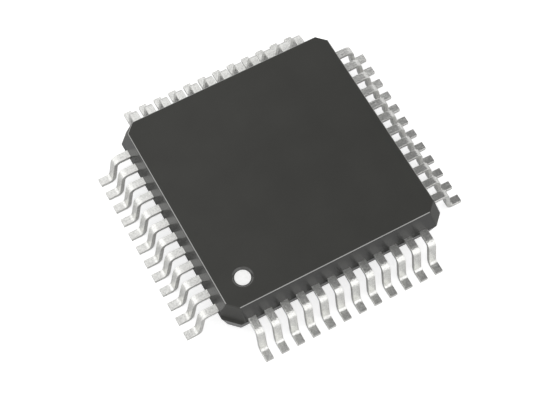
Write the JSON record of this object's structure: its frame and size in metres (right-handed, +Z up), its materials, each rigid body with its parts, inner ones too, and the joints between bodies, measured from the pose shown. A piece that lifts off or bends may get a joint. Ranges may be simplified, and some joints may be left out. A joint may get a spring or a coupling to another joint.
{
  "type": "analog-to-digital converter chip",
  "caption": "Analog-to-digital converter in a square low-profile quad flat package, with gull-wing leads on all four sides for surface mounting on a circuit board.",
  "frame": {"origin": "middle of the footprint, on the seating plane that the undersides of the feet lie in", "axes": "+Z up from the board through the package; +X and +Y along the rows of leads; the pin 1 corner is at -X, -Y, and the pins count anticlockwise seen from above, so pins 1 to 12 are on the -Y side"},
  "size_m": [0.009, 0.009, 0.0016],
  "materials": {
    "mould_compound": "moulded epoxy, fine matt top face and slightly smoother walls",
    "white_ink": "opaque white marking ink",
    "silicon": "polished silicon, dark grey",
    "silver_adhesive": "cured silver-filled epoxy",
    "leadframe_copper": "bare stamped copper alloy",
    "gold_wire": "drawn gold wire",
    "tin_plated_leads": "matt tin plating on stamped copper alloy"
  },
  "bodies": {
    "root": {"package_body": "mould_compound", "pin_one_mark": "white_ink", "silicon_die": "silicon", "die_attach": "silver_adhesive", "die_paddle": "leadframe_copper", "bond_wires": "gold_wire", "lead_01": "tin_plated_leads", "lead_02": "tin_plated_leads", "lead_03": "tin_plated_leads", "lead_04": "tin_plated_leads", "lead_05": "tin_plated_leads", "lead_06": "tin_plated_leads", "lead_07": "tin_plated_leads", "lead_08": "tin_plated_leads", "lead_09": "tin_plated_leads", "lead_10": "tin_plated_leads", "lead_11": "tin_plated_leads", "lead_12": "tin_plated_leads", "lead_13": "tin_plated_leads", "lead_14": "tin_plated_leads", "lead_15": "tin_plated_leads", "lead_16": "tin_plated_leads", "lead_17": "tin_plated_leads", "lead_18": "tin_plated_leads", "lead_19": "tin_plated_leads", "lead_20": "tin_plated_leads", "lead_21": "tin_plated_leads", "lead_22": "tin_plated_leads", "lead_23": "tin_plated_leads", "lead_24": "tin_plated_leads", "lead_25": "tin_plated_leads", "lead_26": "tin_plated_leads", "lead_27": "tin_plated_leads", "lead_28": "tin_plated_leads", "lead_29": "tin_plated_leads", "lead_30": "tin_plated_leads", "lead_31": "tin_plated_leads", "lead_32": "tin_plated_leads", "lead_33": "tin_plated_leads", "lead_34": "tin_plated_leads", "lead_35": "tin_plated_leads", "lead_36": "tin_plated_leads", "lead_37": "tin_plated_leads", "lead_38": "tin_plated_leads", "lead_39": "tin_plated_leads", "lead_40": "tin_plated_leads", "lead_41": "tin_plated_leads", "lead_42": "tin_plated_leads", "lead_43": "tin_plated_leads", "lead_44": "tin_plated_leads", "lead_45": "tin_plated_leads", "lead_46": "tin_plated_leads", "lead_47": "tin_plated_leads", "lead_48": "tin_plated_leads"}
  },
  "joints": []
}
